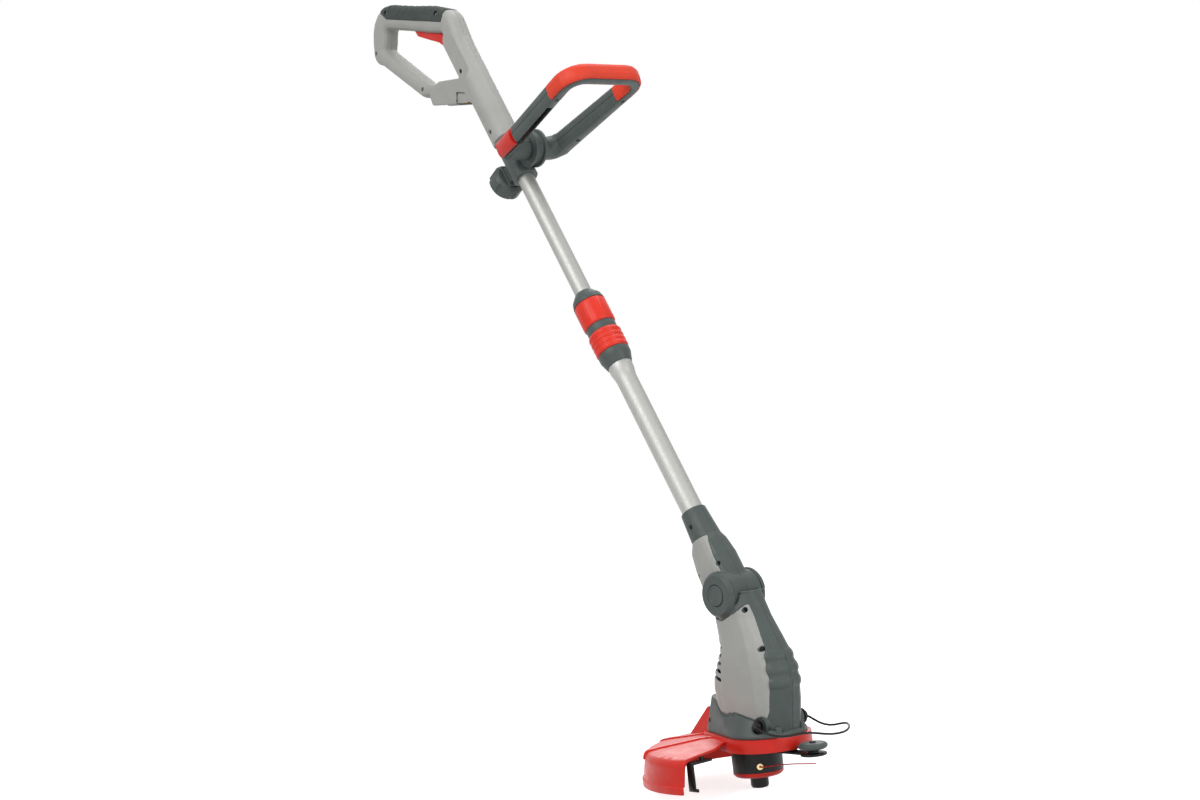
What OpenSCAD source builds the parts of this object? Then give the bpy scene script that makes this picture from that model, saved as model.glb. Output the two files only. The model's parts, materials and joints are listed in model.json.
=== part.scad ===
// Battery string trimmer with a telescopic shaft.
// The origin is the middle of the bump knob's lower face. Z runs up the spool axis and
// X points forward, away from the user. The shaft leans back in the plane Y = 0.

/* [Layout] */
// Height of the head's tilt pivot above the ground
pivot_z = 258.5; // [255:0.5:275]
// Place of the tilt pivot along X
pivot_x = -9.5; // [-14:0.5:-5]
// Angle between the shaft and the spool axis
shaft_lean = 30; // [25:1:40]

/* [Shaft] */
// Outer diameter of the upper tube
upper_d = 25; // [23:0.5:25.5]
// Outer diameter of the lower tube
lower_d = 30; // [29.5:0.5:32]
// Wall of both tubes
tube_wall = 1.5; // [1:0.1:1.8]
// Distance from the pivot to the lower end of the lower tube
lower_start = 62; // [55:1:70]
// Distance from the pivot to the foot of the telescope collar
collar_foot = 370; // [330:1:400]
// Length of the upper tube left inside the lower tube, below the collar's foot
tube_overlap = 130; // [110:1:160]
// Distance from the pivot to the top end of the upper tube
upper_end = 967; // [955:1:975]

/* [Telescope collar] */
// Height of the lower cone
base_h = 21; // [16:1:26]
// Height of the ribbed release sleeve
sleeve_h = 33; // [28:1:38]
// Height of the grey band
band_h = 12; // [9:1:16]
// Height of the smooth lock ring
ring_h = 39; // [34:1:44]
// Height of the upper cone
cone_h = 19; // [15:1:24]
// Radius of the lock ring
ring_r = 24; // [22.5:0.5:26]

/* [Tilt joint] */
// Radius of the barrel that the bracket turns on
barrel_r = 29; // [27:0.5:30]
// Half width of the barrel between the ear discs
barrel_half = 24.5; // [22:0.5:26]
// Thickness of one ear disc
ear_t = 8.5; // [7:0.5:10]
// Radius of the tilt release button
tilt_button_r = 14; // [11:0.5:16]

/* [Head] */
// Wall of the head's casing
head_wall = 3.2; // [2.8:0.1:4]
// Thickness of the light side panels
panel_t = 1.6; // [1.2:0.1:1.8]
// Radius of the motor can
motor_r = 24; // [20:0.5:27]
// Length of the motor can
motor_h = 76; // [60:1:85]
// Radius of the motor shaft
motor_shaft_r = 4; // [3:0.5:5]

/* [Spool] */
// Radius of the spool housing
spool_r = 34; // [32:0.5:37]
// Height of the line spool's housing
spool_h = 36; // [32:1:40]
// Height of the red spool cover's rim
cover_h = 6.5; // [5:0.5:8]
// Radius of the bump knob
knob_r = 12; // [10:0.5:13]
// Height of the bump knob below the cover
knob_h = 18; // [14:0.5:19]
// Diameter of the cutting line
line_d = 1.6; // [1.2:0.1:2.4]

/* [Guard] */
// Radius of the guard's skirt
guard_r = 141; // [130:1:150]
// Place of the skirt's centre behind the spool axis
guard_x = -20; // [-26:1:-14]
// Height of the skirt's lower edge
guard_foot = 18; // [14:1:24]
// Height of the guard's top face
guard_top = 74; // [72:1:80]
// Wall of the guard
guard_wall = 3; // [2.4:0.1:4]
// Radius of the guide wheel
wheel_r = 19; // [16:0.5:21]
// Diameter of the wire plant guard
wire_d = 3; // [2.4:0.1:4]

/* [Rear handle] */
// Radius of the handle's barrel
barrel_grip_r = 22; // [20:0.5:24]
// Width of the loop across the user's hand
loop_w = 34; // [30:1:38]
// Wall of the handle shells
shell_wall = 2.6; // [2.2:0.1:3]
// Distance from the pivot to the lower end of the barrel
barrel_start = 778; // [770:1:785]

/* [Front handle] */
// Distance from the pivot to the clamp's middle
clamp_at = 732; // [725:1:735]
// Height of the clamp along the shaft
clamp_h = 50; // [44:1:54]
// Distance of the front handle's hinge in front of the shaft
hinge_x = 38; // [34:0.5:44]
// Radius of the hinge discs
disc_r = 28; // [24:0.5:30]
// Half width of the loop between its arms' middles
arm_y = 63; // [56:1:68]
// Reach of the grip from the hinge
reach = 201; // [175:1:215]
// Angle that the arms drop from square to the shaft
arm_drop = 10; // [0:1:20]
// Radius of the clamp knob
clamp_knob_r = 25; // [21:0.5:27]

/* [Hidden] */
$fn = 40;

// Running clearance of a shaft in its bore
run = 0.06;
// Gap between pieces that move past each other
gap = 0.4;
// Overshoot of a cut past the face that it opens
over = 1;
// Facets of the round details on the swept shells
mesh_fn = 24;
// Radius at which such a facetted bore clears a round of radius r
function round_clear(r) = r / cos(180 / mesh_fn);

upper_r = upper_d / 2;
lower_r = lower_d / 2;
barrel_end = barrel_half + gap;
disc_face = barrel_end + ear_t;

// ---- Outlines and skins ------------------------------------------------------

function unit(v) = v / norm(v);
function sgn_pow(v, e) = sign(v) * pow(abs(v), e);

// Rounded corner of radius r at b, between a and c
function corner(a, b, c, r, n = 6) =
    let (u = unit(a - b), v = unit(c - b), half = acos(u * v) / 2, back = r / tan(half),
        m = b + unit(u + v) * r / sin(half), s = b + u * back, e = b + v * back,
        a0 = atan2(s.y - m.y, s.x - m.x), a1 = atan2(e.y - m.y, e.x - m.x),
        turn = ((a1 - a0 + 540) % 360) - 180)
    [for (i = [0 : n]) m + r * [cos(a0 + turn * i / n), sin(a0 + turn * i / n)]];

// Closed outline from points [x, y, corner radius]
function outline(path, n = 6) = let (k = len(path)) [for (i = [0 : k - 1])
    let (a = path[(i + k - 1) % k], b = path[i], c = path[(i + 1) % k])
    each (b[2] > 0 ? corner([a.x, a.y], [b.x, b.y], [c.x, c.y], b[2], n) : [[b.x, b.y]])];

// Squared oval of half widths a and b
function squircle(a, b, e = 2.6, n = 32) = [for (i = [0 : n - 1])
    [a * sgn_pow(cos(360 * i / n), 2 / e), b * sgn_pow(sin(360 * i / n), 2 / e)]];

// Joins rings of points, listed upwards and anticlockwise from above, into one solid
module skin(rings, closed = false) {
    m = len(rings);
    n = len(rings[0]);
    links = closed ? m : m - 1;
    sides = [for (i = [0 : links - 1], j = [0 : n - 1])
        let (a = i * n + j, b = ((i + 1) % m) * n + j, c = ((i + 1) % m) * n + (j + 1) % n,
            d = i * n + (j + 1) % n) each [[a, b, c], [a, c, d]]];
    caps = closed ? [] : [[for (j = [0 : n - 1]) j],
        [for (j = [n - 1 : -1 : 0]) (m - 1) * n + j]];
    polyhedron([for (r = rings) each r], concat(sides, caps), convexity = 8);
}

// Sweeps a shell's rings, one slice at a time, so that tight bends may fold over themselves
module swept(rings, closed = false) {
    m = len(rings);
    n = len(rings[0]);
    for (i = [0 : closed ? m - 1 : m - 2]) hull()
        polyhedron(concat(rings[i], rings[(i + 1) % m]), [[for (j = [0 : n - 1]) j], [for (j = [0 : n - 1]) n + j]]);
}

// Horizontal rings from rows [height, rear, front, half width, squareness], pulled in by inset
function level_rings(rows, inset = 0) = [for (r = rows)
    let (a = (r[2] - r[1]) / 2 - inset, b = r[3] - inset, mid = (r[1] + r[2]) / 2)
    [for (p = squircle(a, b, r[4], 20)) [mid + p.x, p.y, r[0]]]];

// Extrudes an outline of [x, z] points along Y, from y0 to y1
module along_y(y0, y1) translate([0, y1, 0]) rotate([90, 0, 0]) linear_extrude(y1 - y0) children();

module rod_y(r, y0, y1) translate([0, y0, 0]) rotate([-90, 0, 0]) cylinder(r = r, h = y1 - y0);
module tube(r, inner, h) difference() {
    cylinder(r = r, h = h);
    translate([0, 0, -over]) cylinder(r = inner, h = h + 2 * over);
}

// Half of space on the user's right (side = -1) or left (side = 1)
module half_space(side) translate([-1000, side > 0 ? 0 : -1000, -500]) cube([2000, 1000, 2500]);

// Places its children at the tilt pivot, or along the shaft from it
module at_pivot() translate([pivot_x, 0, pivot_z]) children();
module on_shaft() at_pivot() rotate([0, -shaft_lean, 0]) children();

// Cross-headed screw that points along +Y, its head at the origin
module screw(d, l) {
    head_h = d * 0.6;
    rotate([90, 0, 0]) difference() {
        union() {
            translate([0, 0, -head_h]) cylinder(r = d, h = head_h);
            translate([0, 0, -l]) cylinder(r = d / 2, h = l - head_h / 2);
        }
        for (a = [0, 90]) rotate([0, 0, a]) translate([-d * 0.55, -d * 0.12, -head_h * 0.5])
            cube([d * 1.1, d * 0.24, head_h]);
    }
}

// Way in for that screw: room for its head, open outwards, and a hole for its thread
module screw_way(d, l) {
    rod_y((d + gap / 2) / cos(15), -60, d * 0.6, $fn = 12);
    rod_y(d / 2 / cos(30), -over, l + gap / 2, $fn = 6);
}
// Post that such a screw runs into, across both halves of a casing
module screw_post_y(d) rod_y(d + 2, -60, 60, $fn = 8);

// Coil spring drawn as the thin tube that its turns fill
module spring(r, h, wire) tube(r, r - wire, h);

// ---- Rear handle ---------------------------------------------------------------
// Its side view is drawn in shaft coordinates, x forward of the shaft and z along it.

hinge_pin_r = 2;
trigger_w = 13;
trigger_hinge = [-60, 1063];
// Middle line of the D-shaped loop: x, z, corner radius and half thickness of the bar
loop_path = [[8, 1009, 16, 19], [-24, 1042.8, 0, 21], [-60, 1078.4, 0, 19.4], [-122, 1140, 26, 19.4],
    [-148, 1111, 0, 19], [-161.6, 1095.5, 8, 16], [-154, 1079, 0, 12.5], [-102, 966.5, 10, 11.4],
    [-88, 955.5, 0, 9.5], [-20, 902.5, 0, 9.5], [-2, 888, 6, 11], [3, 925, 0, 13]];

// Rings of the loop along its middle line, pulled in by inset
function loop_rings(inset) = let (
        k = len(loop_path),
        line = [for (i = [0 : k - 1]) let (a = loop_path[(i + k - 1) % k], b = loop_path[i], c = loop_path[(i + 1) % k])
            each [for (q = b[2] > 0 ? corner([a.x, a.y], [b.x, b.y], [c.x, c.y], b[2], 4) : [[b.x, b.y]]) [q.x, q.y, b[3]]]],
        m = len(line))
    [for (i = [0 : m - 1]) let (a = line[(i + m - 1) % m], b = line[i], c = line[(i + 1) % m],
            t = unit([c.x - a.x, c.y - a.y]))
        [for (q = squircle(b[2] - inset, loop_w / 2 - inset, 3, 16)) [b.x + q.x * t.y, q.y, b.y - q.x * t.x]]];

dock_path = outline([[-88, 950, 3], [-93, 944, 3], [-95, 930, 4], [-50, 893, 0], [-16, 867, 0], [-4, 862, 0],
    [-2, 905, 0], [-60, 948, 0]]);

// Loop, battery dock and the straight barrel with its rounded top
module rear_solid(inset) {
    swept(loop_rings(inset), closed = true);
    along_y(-loop_w / 2 + inset, loop_w / 2 - inset) offset(delta = -inset) polygon(dock_path);
    translate([0, 0, barrel_start + inset]) cylinder(r = barrel_grip_r - inset, h = barrel_h - inset,
        $fn = inset > 0 ? mesh_fn : 40);
    translate([0, 0, barrel_start + barrel_h]) sphere(r = barrel_grip_r - inset, $fn = mesh_fn);
}

barrel_h = 200;
rear_screw_d = 3;
// Screws of the rear casing: x, z and how far the head lies from the middle
rear_screw_places = [[-101, 1128.5, 12], [0.5, 1033, 12], [-164, 1099, 12], [-101.5, 968, 12],
    [-6, 920, 15.5], [-3, 797, 18]];
// Those beside the tube stop short of it
function rear_screw_l(p) = p.y < upper_end - 40 && abs(p.x) < upper_r ? p[2] - upper_r - gap : p[2] + 6;
module rear_screws_at() for (p = rear_screw_places) translate([p.x, -p[2], p.y]) children();
// Ribs inside the barrel that hold the tube
tube_rib_places = [790, 850, 910, 950];

module rear_shell(side) color("darkgray") on_shaft() difference() {
    $fn = mesh_fn;
    intersection() {
        rear_solid(0);
        half_space(side);
    }
    difference() {
        rear_solid(shell_wall);
        for (z = tube_rib_places) translate([0, 0, z]) cylinder(r = barrel_grip_r - shell_wall + 0.1, h = 4);
        // Plate above the battery slot, which carries the contacts
        along_y(-loop_w, loop_w) polygon([slot_roof[0], slot_roof[1], slot_roof[1] + [3, 4], slot_roof[0] + [3, 4]]);
        rear_screws_at() screw_post_y(rear_screw_d);
        // Solid bed of the soft pad
        along_y(-loop_w, loop_w) polygon([for (p = pad_path) p - [pad_bed, pad_bed]]);
    }
    // Bore for the tube
    translate([0, 0, barrel_start - over])
        cylinder(r = round_clear(upper_r), h = upper_end - barrel_start + over);
    trigger_slot();
    battery_slot();
    grip_band(pad_t);
    for (p = rear_screw_places) translate([p.x, -p[2], p.y]) screw_way(rear_screw_d, rear_screw_l(p));
    switch_box(gap / 2);
    // Seats of the trigger's pin and spring
    translate([trigger_hinge.x, 0, trigger_hinge.y]) {
        rod_y(hinge_pin_r / cos(15), -loop_w / 2 + shell_wall, loop_w / 2 - shell_wall, $fn = 12);
        rod_y((hinge_pin_r + 2 + gap / 2) / cos(15), 0, trigger_w / 2 + trigger_spring_h + 2 * gap, $fn = 12);
    }
}
trigger_spring_h = 4;

module trigger_slot() along_y(-trigger_w / 2 - gap, trigger_w / 2 + gap)
    polygon([[-72, 1070], [-76, 1050], [-30, 985], [-20, 964], [-2, 966], [-2, 1004], [-40, 1056], [-54, 1075]]);

// Slot that the battery slides into, open to the rear and below
slot_half = 11;
slot_roof = [[-91, 935], [-32, 889]];
module battery_slot() {
    along_y(-slot_half, slot_half) polygon([[-99, 925.6], slot_roof[0], slot_roof[1], [-19, 866], [-21, 858]]);
    // Notches through both cheeks at the slot's mouth
    along_y(-loop_w, loop_w) polygon([[-35, 904], [-19, 889], [-18, 858], [-52, 884]]);
}

// Seat of the soft pad on top of the grip
pad_t = 3.4;
pad_bed = 1.5;
pad_path = [[-105, 1119], [4, 1011.5], [22, 1024], [34, 1040], [-60, 1170], [-124, 1172]];
pad_reach = loop_w / 2 + over;
module grip_band(depth) intersection() {
    swept(loop_rings(-0.8), closed = true);
    difference() {
        along_y(-pad_reach, pad_reach) polygon(pad_path);
        swept(loop_rings(depth), closed = true);
    }
}

module rear_shell_right() rear_shell(-1);
module rear_shell_left() rear_shell(1);

groove_count = 8;
module soft_grip() color("dimgray") on_shaft() difference() {
    $fn = mesh_fn;
    grip_band(pad_t - gap / 3);
    // Shallow finger grooves across the pad
    for (i = [0 : groove_count - 1]) translate([-92 + i * 12, 0, 1139 - i * 12]) rotate([0, -45, 0])
        translate([0, 0, 1.6]) rod_y(2, -pad_reach, pad_reach, $fn = 12);
    rear_screws_at() screw_way(rear_screw_d, 0);
}

module casing_screws() color("black") on_shaft() for (p = rear_screw_places)
    translate([p.x, -p[2], p.y]) screw(rear_screw_d, rear_screw_l(p));

contact_pitch = 6;
contact_h = 5;
// Blades under the slot's roof
module battery_contacts() color("goldenrod") on_shaft() {
    along = unit(slot_roof[1] - slot_roof[0]);
    foot = slot_roof[0] + 0.6 * (slot_roof[1] - slot_roof[0]);
    for (i = [-1 : 1]) translate([foot.x, i * contact_pitch - 0.6, foot.y])
        rotate([0, atan2(-along.y, along.x), 0]) translate([0, 0, -contact_h]) cube([16, 1.2, contact_h]);
}

// Box of the switch, turned to lie along the grip, with play around it
switch_size = [20, 12, 9];
module switch_box(play) translate([-19, -6, 1021.5]) rotate([0, 45, 0])
    translate(-[play, play, play]) cube(switch_size + 2 * [play, play, play]);
module trigger_switch() color("black") on_shaft() switch_box(0);

module trigger() color("red") on_shaft() difference() {
    along_y(-trigger_w / 2, trigger_w / 2) polygon(outline([[-68, 1062, 4], [-67, 1048, 4], [-46, 1021, 30],
        [-30, 1001, 10], [-17, 973, 1.5], [-13, 974, 1], [-13, 1000, 4], [-36, 1036, 6], [-58, 1070, 5]]));
    translate([trigger_hinge.x, 0, trigger_hinge.y]) rod_y(hinge_pin_r + run, -trigger_w, trigger_w);
}

module trigger_pin() color("silver") on_shaft() translate([trigger_hinge.x, 0, trigger_hinge.y])
    rod_y(hinge_pin_r, -loop_w / 2 + shell_wall, loop_w / 2 - shell_wall);

module trigger_spring() color("silver") on_shaft() translate([trigger_hinge.x, trigger_w / 2 + gap, trigger_hinge.y])
    rotate([-90, 0, 0]) spring(hinge_pin_r + 2, trigger_spring_h, 1);

// ---- Tubes and wiring ------------------------------------------------------------

upper_start = collar_foot - tube_overlap;
lower_bore = lower_r - tube_wall;
upper_bore = upper_r - tube_wall;
bush_h = 24;
lead_r = 2.5;
coil_h = 200;
// Flare at the top of the lower tube
flare_r = 17.6;
flare_h = 26;

module upper_tube() color("silver") on_shaft() translate([0, 0, upper_start])
    tube(upper_r, upper_bore, upper_end - upper_start);

module tube_bush() color("black") on_shaft() translate([0, 0, upper_start])
    tube(lower_bore - run, upper_r, bush_h);

module lead_coil() color("black") on_shaft() translate([0, 0, upper_start + bush_h])
    tube(upper_bore, lead_r + 1.5, coil_h);

module lower_tube() color("silver") on_shaft() difference() {
    union() {
        translate([0, 0, lower_start]) cylinder(r = lower_r, h = collar_top - lower_start - cone_h);
        rotate_extrude() polygon([[1, collar_foot - flare_h], [lower_r, collar_foot - flare_h],
            [flare_r, collar_foot - 6], [flare_r, collar_foot], [1, collar_foot]]);
    }
    translate([0, 0, lower_start - over]) cylinder(r = lower_bore, h = collar_top);
}

module lead_lower() color("black") on_shaft() translate([0, 0, 30]) cylinder(r = lead_r, h = 300);

// ---- Telescope collar ------------------------------------------------------------

collar_top = collar_foot + base_h + sleeve_h + band_h + ring_h + cone_h;
sleeve_z = collar_foot + base_h;
band_z = sleeve_z + sleeve_h;
ring_z = band_z + band_h;
cone_z = ring_z + ring_h;
// Radius of the sleeve that carries the rings
core_r = 19;
band_r = ring_r - 2;
sleeve_travel = 8;
// Bore in which the lower tube turns
turn_r = lower_r + run;

// Body with the upper cone, the core under the rings and the band
module collar_body() color("dimgray") on_shaft() difference() {
    rotate_extrude() polygon([[turn_r, sleeve_z + gap], [core_r, sleeve_z + gap], [core_r, band_z],
        [band_r, band_z], [band_r, ring_z], [core_r, ring_z], [core_r, cone_z],
        [ring_r, cone_z], [ring_r - 2, cone_z + cone_h * 0.45], [upper_r + 1.6, collar_top],
        [upper_r + 0.2, collar_top], [upper_r + 0.2, collar_top - 12], [turn_r, collar_top - 14]]);
    // Slots of the sprung fingers under the lock ring
    for (a = [0 : 90 : 270]) rotate([0, 0, a]) translate([12, -0.6, ring_z + 4]) cube([10, 1.2, ring_h - 8]);
}

module collar_base() color("dimgray") on_shaft() rotate_extrude() polygon([[lower_r, collar_foot],
    [flare_r + run, collar_foot], [flare_r + run, collar_foot - 1], [flare_r + 1.2, collar_foot - 1], [ring_r - 0.8, collar_foot + base_h * 0.6],
    [ring_r - 0.6, sleeve_z - gap], [lower_r, sleeve_z - gap]]);

module clamp_collet() color("black") on_shaft() difference() {
    translate([0, 0, collar_top - 12]) tube(upper_r + 0.2, upper_r + run, 12);
    translate([0, -0.5, collar_top - 14]) cube([20, 1, 20]);
}

module lock_ring() color("red") on_shaft() translate([0, 0, ring_z + gap / 2]) difference() {
    rotate_extrude() polygon([[core_r + run, 0], [ring_r - 1, 0], [ring_r, 3], [ring_r, ring_h - gap - 3],
        [ring_r - 0.8, ring_h - gap], [core_r + run, ring_h - gap]]);
}

rib_count = 4;
rib_pitch = (sleeve_h - 1) / rib_count;
// Inner lip that the spring pushes on
lip_in = 4;
module release_sleeve() color("red") on_shaft() translate([0, 0, sleeve_z + gap / 2]) rotate_extrude()
    polygon(concat([[core_r + run, 0]],
        [for (i = [0 : rib_count - 1]) each [[ring_r - 0.9, i * rib_pitch], [ring_r + 0.5, (i + 0.35) * rib_pitch],
            [ring_r + 0.5, (i + 0.65) * rib_pitch], [ring_r - 0.9, (i + 0.98) * rib_pitch]]],
        [[ring_r - 0.9, sleeve_h - gap], [band_r + run, sleeve_h - gap], [band_r + run, lip_in], [core_r + run, lip_in]]));

module sleeve_spring() color("silver") on_shaft() translate([0, 0, sleeve_z + lip_in + sleeve_travel + gap])
    spring(band_r - 0.4, sleeve_h - lip_in - sleeve_travel - gap, 2);

// ---- Front handle ------------------------------------------------------------

clamp_r = upper_r + 6.5;
disc_in = 6;
disc_out = 10;
boss_x = 27;
shoe_w = 12;
shoe_t = 3;
bolt_r = 3;
knob_t = 26;
hub_r = 17.5;
hinge_r = 4;
arm_half = 11;
arm_rise = 13.5;
base_y = arm_y - 17;
loop_corner = 26;
elbow_r = 20;
// Start of the near arm ahead of the hinge
arm_back = 6;

module at_clamp() on_shaft() translate([0, 0, clamp_at]) children();
module at_hinge() at_clamp() translate([hinge_x, 0, 0]) rotate([0, arm_drop, 0]) children();

module handle_clamp() color("dimgray") at_clamp() difference() {
    union() {
        translate([0, 0, -clamp_h / 2]) cylinder(r = clamp_r, h = clamp_h);
        translate([0, -disc_in, -clamp_h / 3]) cube([hinge_x, 2 * disc_in, clamp_h * 2 / 3]);
        translate([hinge_x, 0, 0]) {
            rod_y(disc_r - 5, -disc_out + over, disc_out - over);
            for (y = [-disc_out, disc_in]) rod_y(disc_r, y, y + disc_out - disc_in);
        }
        // Boss and flange that the knob turns in
        translate([-boss_x, -12, -18]) cube([3, 24, 36]);
        translate([-boss_x, -9, -13]) cube([boss_x, 18, 26]);
    }
    translate([0, 0, -clamp_h]) cylinder(r = upper_r + run, h = 2 * clamp_h);
    translate([-upper_r - shoe_t, -shoe_w / 2, -shoe_w / 2]) cube([upper_r, shoe_w, shoe_w]);
    rotate([0, -90, 0]) cylinder(r = bolt_r + run, h = boss_x + over);
    translate([hinge_x, 0, 0]) rod_y(hinge_r + run, -disc_out - over, disc_out + over);
}

module clamp_shoe() color("black") at_clamp() difference() {
    translate([-upper_r - shoe_t + gap / 2, -shoe_w / 2 + gap / 2, -shoe_w / 2 + gap / 2])
        cube([shoe_t + 2, shoe_w - gap, shoe_w - gap]);
    translate([0, 0, -clamp_h]) cylinder(r = upper_r + run, h = 2 * clamp_h);
}

module clamp_bolt() color("silver") at_clamp() translate([-upper_r - shoe_t, 0, 0]) rotate([0, -90, 0])
    cylinder(r = bolt_r, h = boss_x + knob_t - upper_r - shoe_t - 4);

lobes = 6;
module clamp_knob() color("dimgray") at_clamp() translate([-boss_x - gap, 0, 0]) rotate([0, -90, 0]) difference() {
    rotate_extrude() polygon([[0, 0], [clamp_knob_r - 5, 0], [clamp_knob_r, 5], [clamp_knob_r, knob_t - 4],
        [clamp_knob_r - 4, knob_t], [0, knob_t]]);
    for (i = [0 : lobes - 1]) rotate([0, 0, i * 360 / lobes]) translate([clamp_knob_r + 1, 0, 4])
        cylinder(r = 4, h = knob_t);
    translate([0, 0, -over]) cylinder(r = bolt_r, h = knob_t - 4 + over);
}

// Open route through points [x, y, corner radius]
function route(path, n = 8) = let (k = len(path)) concat([[path[0].x, path[0].y]],
    [for (i = [1 : k - 2]) each path[i][2] > 0 ? corner([path[i - 1].x, path[i - 1].y], [path[i].x, path[i].y],
        [path[i + 1].x, path[i + 1].y], path[i][2], n) : [[path[i].x, path[i].y]]], [[path[k - 1].x, path[k - 1].y]]);

hub_in = disc_out + gap;
handle_route = route([[-arm_back, -base_y, 0], [30, -base_y - 2.4, 0], [reach, -arm_y, loop_corner],
    [reach, arm_y, loop_corner], [0, base_y, elbow_r], [0, hub_in, 0]], 5);

// Half width of the loop's bar in its own plane, swelling to the round hub at its end
function bar_half(p) = p.x < 30 && p.y > 0 ? arm_half + (hub_r - arm_half) * min(1, (30 - p.x) / 26) : arm_half;
function bar_rise(p) = p.x < 30 && p.y > 0 ? arm_rise + (hub_r - arm_rise) * min(1, (30 - p.x) / 26) : arm_rise;

// Ring across the bar's route at point i, through the section's points [across, down]
function bar_ring(i, section) = let (k = len(handle_route), b = handle_route[i],
        t = unit(handle_route[min(i + 1, k - 1)] - handle_route[max(i - 1, 0)]))
    [for (q = section) [b.x + q.x * t.y, b.y - q.x * t.x, -q.y]];
function bar_section(i, inset, n = 16) = let (b = handle_route[i])
    squircle(bar_half(b) - inset, bar_rise(b) - inset, b.x < 12 && b.y > 0 ? 2 : 3, n);
function bar_rings(inset, first = 0, last = len(handle_route) - 1) =
    [for (i = [first : last]) bar_ring(i, bar_section(i, inset))];
cover_t = 2;
cover_bed = 1.4;
// Rings of the hollow, deeper under the grip's cover
hollow_rings = [for (i = [1 : 18])
    bar_ring(i, bar_section(i, i > 1 && i < 15 ? cover_t + cover_bed : shell_wall, 12))];

// Hub with a chamfered rim at its inner end
module hub(side) hull() {
    rod_y(hub_r - 1, min(side * hub_in, side * base_y / 2), max(side * hub_in, side * base_y / 2));
    rod_y(hub_r, min(side * (hub_in + 1), side * base_y / 2), max(side * (hub_in + 1), side * base_y / 2));
}

module handle_solid() {
    skin(bar_rings(0));
    hub(-1);
    hub(1);
    rod_y(hub_r, -base_y + 2, -base_y / 2);
}

module handle_shell(side) color("dimgray") at_hinge() difference() {
    $fn = mesh_fn;
    intersection() {
        handle_solid();
        translate([-100, -100, side > 0 ? 0 : -100]) cube([400, 200, 100]);
    }
    difference() {
        skin(hollow_rings);
        for (p = loop_screw_places) translate([p.x, p.y, 0]) screw_post();
    }
    rod_y(round_clear(hinge_r), -bolt_face, base_y);
    button_pocket();
    grip_band_front(cover_t, over, gap / 2);
    for (p = loop_screw_places) translate([p.x, p.y, -arm_rise - over]) {
        cylinder(r = round_clear(loop_screw_d / 2), h = 2 * arm_rise);
        head_way();
    }
}

// Post round a screw, wider at the seam between the shells
module screw_post() hull() {
    translate([0, 0, -arm_rise]) cylinder(r = 3.6, h = 2 * arm_rise);
    translate([0, 0, -1]) cylinder(r = 4, h = 2);
}
// Way in for a screw's head
module head_way() hull() {
    cylinder(r = round_clear(loop_screw_d) + 0.3, h = over);
    cylinder(r = round_clear(loop_screw_d), h = over + screw_sink + loop_screw_d * 0.6);
}

module loop_shell_upper() handle_shell(1);
module loop_shell_lower() handle_shell(-1);

loop_screw_d = 3.2;
screw_sink = 1.2;
loop_screw_places = [[48, arm_y - 14], [reach - 48, -arm_y + 4], [reach - 48, arm_y - 4]];
module loop_screws() color("black") at_hinge() for (p = loop_screw_places)
    translate([p.x, p.y, -arm_rise + screw_sink]) rotate([90, 0, 0]) screw(loop_screw_d, 2 * arm_rise - 8);

// Cover over the grip, wrapped round the front of the loop and open underneath
cover_back = reach - 50;
cover_lip = 58;
// Section of the cover: an arch over the bar from lip to lip, and back inside it
function arch(w, h, lip, back) = [for (i = [0 : 12]) let (k = back ? 12 - i : i, t = 180 - lip + (180 + 2 * lip) * k / 12)
    [w * sgn_pow(cos(t), 2 / 3), h * sgn_pow(sin(t), 2 / 3)]];
function cover_ring(i, inner, outer, play) = let (b = handle_route[i], w = bar_half(b), h = bar_rise(b), lip = cover_lip + 4 * play)
    bar_ring(i, concat(arch(w + outer, h + outer, lip, false), arch(w - inner, h - inner, lip, true)));
function between(a, b, f) = [for (i = [0 : len(a) - 1]) a[i] + (b[i] - a[i]) * f];
// Point of the route's straight from a to b where the cover ends
function cover_end(a, b, play) = (cover_back - play - handle_route[a].x) / (handle_route[b].x - handle_route[a].x);
module grip_band_front(inner, outer, play = 0) skin(concat(
    [between(cover_ring(1, inner, outer, play), cover_ring(2, inner, outer, play), cover_end(1, 2, play))],
    [for (i = [2 : 13]) cover_ring(i, inner, outer, play)],
    [between(cover_ring(14, inner, outer, play), cover_ring(13, inner, outer, play), cover_end(14, 13, play))]));
module grip_cover() color("tomato") at_hinge() grip_band_front(cover_t - gap / 4, 0.3);

bolt_face = base_y - 2;
module hinge_bolt() color("silver") at_hinge() rod_y(hinge_r, -bolt_face, base_y);

button_len = 40;
button_travel = 4;
button_t = 5;
arm_face = base_y + arm_half;
pocket_floor = -arm_face + button_t + button_travel;
spring_h = 3.6;
spring_r = 6;
module button_pocket() {
    translate([-arm_back - over, -arm_face - 4, -arm_rise - over])
        cube([button_len + 5 + over, 4 + arm_face + pocket_floor, 2 * (arm_rise + over)]);
    // Recess of the spring
    translate([button_len / 2, 0, 0]) rod_y(spring_r + gap, pocket_floor - over, pocket_floor + spring_h + gap);
}
module hinge_button() color("red") at_hinge() intersection() {
    skin(bar_rings(-0.4, 0, 2));
    translate([-arm_back - over, -arm_face - 4, -arm_rise + 0.5]) cube([button_len + over, button_t + 4, 2 * arm_rise - 1]);
}
module hinge_spring() color("silver") at_hinge() translate([button_len / 2, pocket_floor + gap / 2, 0])
    rotate([-90, 0, 0]) spring(spring_r, spring_h, 1);

// ---- Bracket above the tilt joint ----------------------------------------------

socket_top = 127;
socket_r = 18;
bracket_wall = 2.8;
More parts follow.
